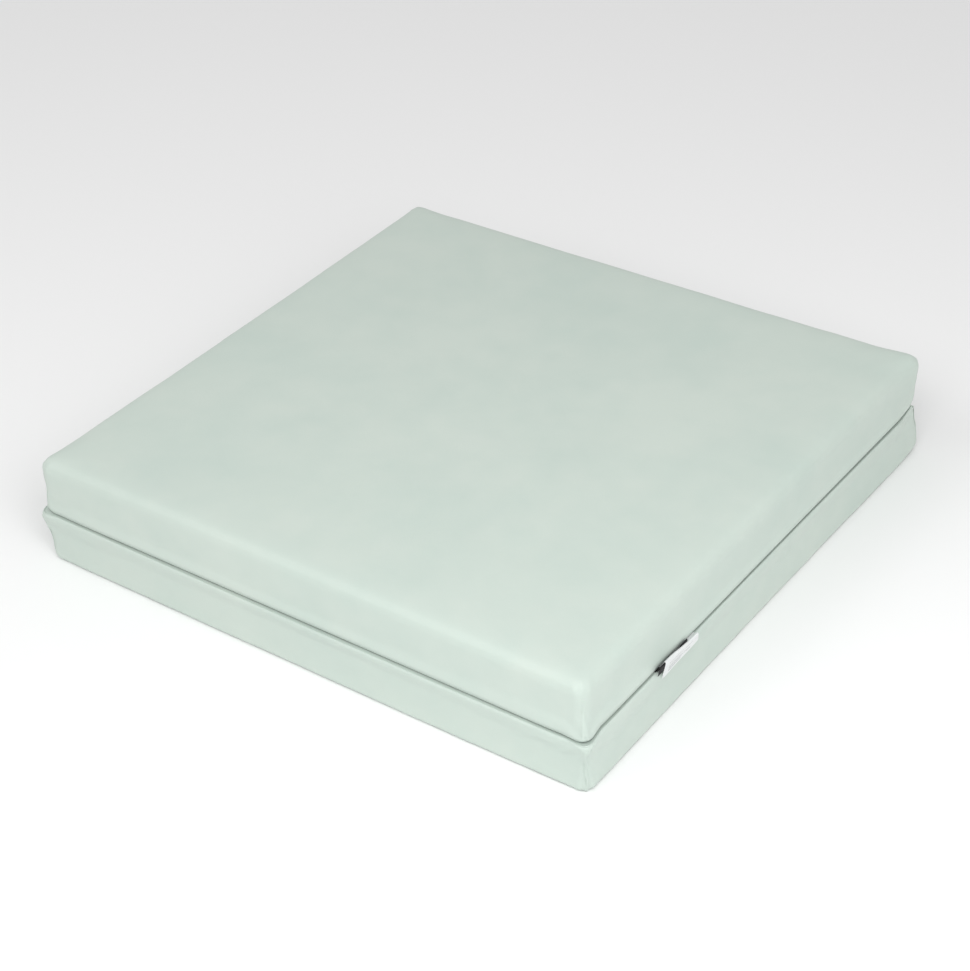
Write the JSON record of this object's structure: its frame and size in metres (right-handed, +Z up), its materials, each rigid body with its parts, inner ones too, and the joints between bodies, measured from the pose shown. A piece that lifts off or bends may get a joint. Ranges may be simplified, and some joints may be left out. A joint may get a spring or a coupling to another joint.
{
  "type": "pressure relief mattress",
  "caption": "Foam pressure relief mattress in two zipped, coated fabric sections that fold together on a fabric hinge at one end, shown folded with the bases face to face.",
  "frame": {"origin": "on the floor, under the middle of the folded sections (the hinge web and the label are left out of that middle)", "axes": "+Z up through the fold; +X from the hinged end to the free end; +Y across the mattress's width, towards the zips"},
  "size_m": [0.9619, 0.9064, 0.172],
  "materials": {
    "cover_fabric": "pale grey-green PU-coated stretch fabric, soft satin sheen",
    "base_fabric": "pale grey-green coated fabric, slightly duller",
    "welt_binding": "stitched binding of the cover's own fabric",
    "fire_sock_knit": "thin off-white knitted fire-retardant sock",
    "comfort_foam": "open-cell viscoelastic foam, cream",
    "base_foam": "open-cell high-resilience foam, pale blue",
    "bolster_foam": "firm open-cell foam, pale grey",
    "zip_tape": "woven polyester tape, pale grey",
    "zip_coil": "nylon coil, pale grey",
    "zip_metal": "grey painted zinc",
    "label_weave": "white satin woven label",
    "ribbon_black": "black woven ribbon"
  },
  "bodies": {
    "lower_section": {"lower_cover_shell": "cover_fabric", "lower_base_panel": "base_fabric", "lower_seam_welt": "welt_binding", "lower_corner_seams": "cover_fabric", "lower_fire_sock": "fire_sock_knit", "lower_side_bolsters": "bolster_foam", "lower_base_foam": "base_foam", "lower_comfort_foam": "comfort_foam", "lower_zip_tapes": "zip_tape", "lower_zip_chain": "zip_coil", "lower_zip_stops": "zip_metal", "lower_hinge_strip": "base_fabric", "care_label": "label_weave", "ribbon_tab": "ribbon_black"},
    "upper_section": {"upper_cover_shell": "cover_fabric", "upper_base_panel": "base_fabric", "upper_seam_welt": "welt_binding", "upper_corner_seams": "cover_fabric", "upper_fire_sock": "fire_sock_knit", "upper_side_bolsters": "bolster_foam", "upper_base_foam": "base_foam", "upper_comfort_foam": "comfort_foam", "upper_zip_tapes": "zip_tape", "upper_zip_chain": "zip_coil", "upper_zip_stops": "zip_metal", "upper_hinge_strip": "base_fabric"},
    "lower_slider": {"lower_zip_slider": "zip_metal"},
    "lower_pull": {"lower_zip_pull": "zip_metal"},
    "upper_slider": {"upper_zip_slider": "zip_metal"},
    "upper_pull": {"upper_zip_pull": "zip_metal"}
  },
  "joints": [
    {"name": "fold_hinge", "type": "hinge", "parent": "lower_section", "child": "upper_section", "pos_m": [-0.481, 0, 0.086], "axis": [0, -1, 0], "range_deg": [0, 180]},
    {"name": "lower_zip_slide", "type": "slide", "parent": "lower_section", "child": "lower_slider", "axis": [-1, 0, 0], "range_m": [0, 0.8446]},
    {"name": "lower_pull_swing", "type": "hinge", "parent": "lower_slider", "child": "lower_pull", "pos_m": [0.4223, 0.4532, 0.056], "axis": [0, 0, -1], "range_deg": [0, 180]},
    {"name": "upper_zip_slide", "type": "slide", "parent": "upper_section", "child": "upper_slider", "axis": [-1, 0, 0], "range_m": [0, 0.8446]},
    {"name": "upper_pull_swing", "type": "hinge", "parent": "upper_slider", "child": "upper_pull", "pos_m": [0.4223, 0.4532, 0.116], "axis": [0, 0, -1], "range_deg": [0, 180]}
  ]
}
